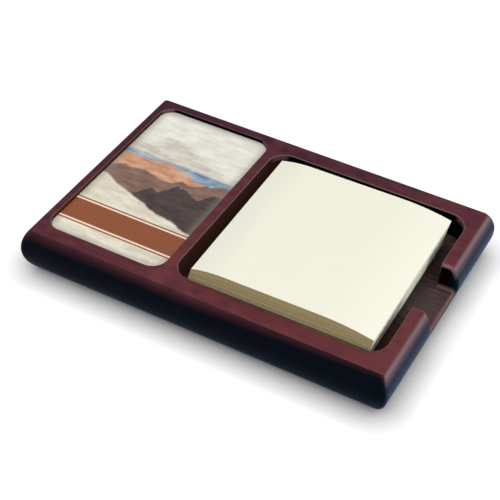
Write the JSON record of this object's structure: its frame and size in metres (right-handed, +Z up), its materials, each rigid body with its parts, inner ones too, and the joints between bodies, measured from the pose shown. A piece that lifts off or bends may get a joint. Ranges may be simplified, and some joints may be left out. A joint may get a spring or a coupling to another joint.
{
  "type": "memo pad holder",
  "caption": "Lacquered hardwood desk tray with a square well and finger notch for a block of notes, and a shallow pocket that holds a printed picture plate.",
  "frame": {"origin": "on the desk, under the middle of the board", "axes": "+X runs along the board from the picture to the end with the finger notch, +Y from the front rail to the back rail, +Z up"},
  "size_m": [0.16, 0.11, 0.0282],
  "materials": {
    "tray_wood": "dark red-brown stained hardwood under satin lacquer",
    "printed_plate": "thin plate, printed and sealed, semi-gloss",
    "tape": "double-sided mounting tape",
    "card": "uncoated grey-brown card",
    "note_paper": "uncoated cream note paper",
    "foot_rubber": "matt black rubber"
  },
  "bodies": {
    "tray": {"tray_body": "tray_wood", "picture_plate": "printed_plate", "tape_front": "tape", "tape_back": "tape", "foot_front_left": "foot_rubber", "foot_front_right": "foot_rubber", "foot_back_left": "foot_rubber", "foot_back_right": "foot_rubber"},
    "pad": {"backing_card": "card", "note_block": "note_paper"}
  },
  "joints": [
    {"name": "pad_lift", "type": "slide", "parent": "tray", "child": "pad", "axis": [0, 0, 1], "range_m": [0, 0.03]}
  ]
}
